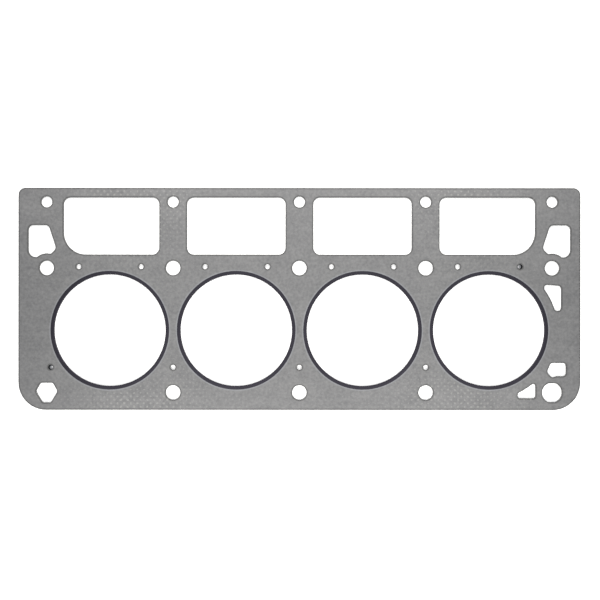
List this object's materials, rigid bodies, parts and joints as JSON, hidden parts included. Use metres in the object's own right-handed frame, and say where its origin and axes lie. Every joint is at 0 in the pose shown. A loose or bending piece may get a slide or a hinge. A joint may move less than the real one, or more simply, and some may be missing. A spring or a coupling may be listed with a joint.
{
  "type": "cylinder head gasket",
  "caption": "Flat composite cylinder head gasket with armoured bores in a row, pushrod windows, bolt holes and coolant ports.",
  "frame": {"origin": "under the middle of the sheet's outline, on the surface it lies on", "axes": "+X along the row of bores, to the end with the wedge-shaped port; +Y from the bores to the pushrod windows; +Z through the thickness, out of the face the picture shows"},
  "size_m": [0.497, 0.1966, 0.0018],
  "materials": {
    "facing": "matt grey fibre composition, dimpled by the tangs of its steel core",
    "armour_steel": "dark heat-coloured stainless sheet",
    "wire_steel": "drawn steel wire, pressed flat above and below"
  },
  "bodies": {
    "root": {"laminated_sheet": "facing", "bore_armour_1": "armour_steel", "bore_armour_2": "armour_steel", "bore_armour_3": "armour_steel", "bore_armour_4": "armour_steel", "fire_wire_1": "wire_steel", "fire_wire_2": "wire_steel", "fire_wire_3": "wire_steel", "fire_wire_4": "wire_steel"}
  },
  "joints": []
}
